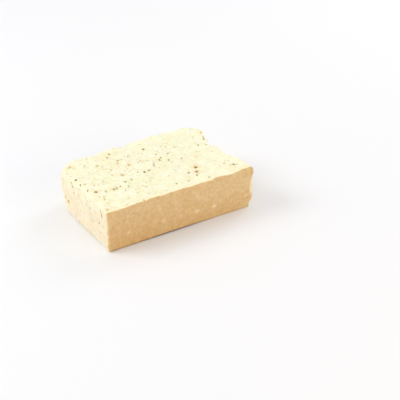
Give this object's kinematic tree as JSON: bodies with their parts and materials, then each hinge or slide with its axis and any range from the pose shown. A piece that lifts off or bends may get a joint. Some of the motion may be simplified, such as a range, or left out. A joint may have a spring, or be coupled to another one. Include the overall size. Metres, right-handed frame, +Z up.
{
  "type": "tofu block",
  "caption": "Block of firm tofu with a flat cut front, soft rounded outer edges, a torn end and open pits in its pale skin.",
  "frame": {"origin": "centre of the block's bounding box, on the surface that it rests on", "axes": "+X along the block's length, from the left end to the torn right end; +Y from the cut front to the back; +Z up"},
  "size_m": [0.137, 0.09, 0.038],
  "materials": {
    "tofu": "moist, softly dull, pitted"
  },
  "bodies": {
    "root": {"tofu_block": "tofu"}
  },
  "joints": []
}
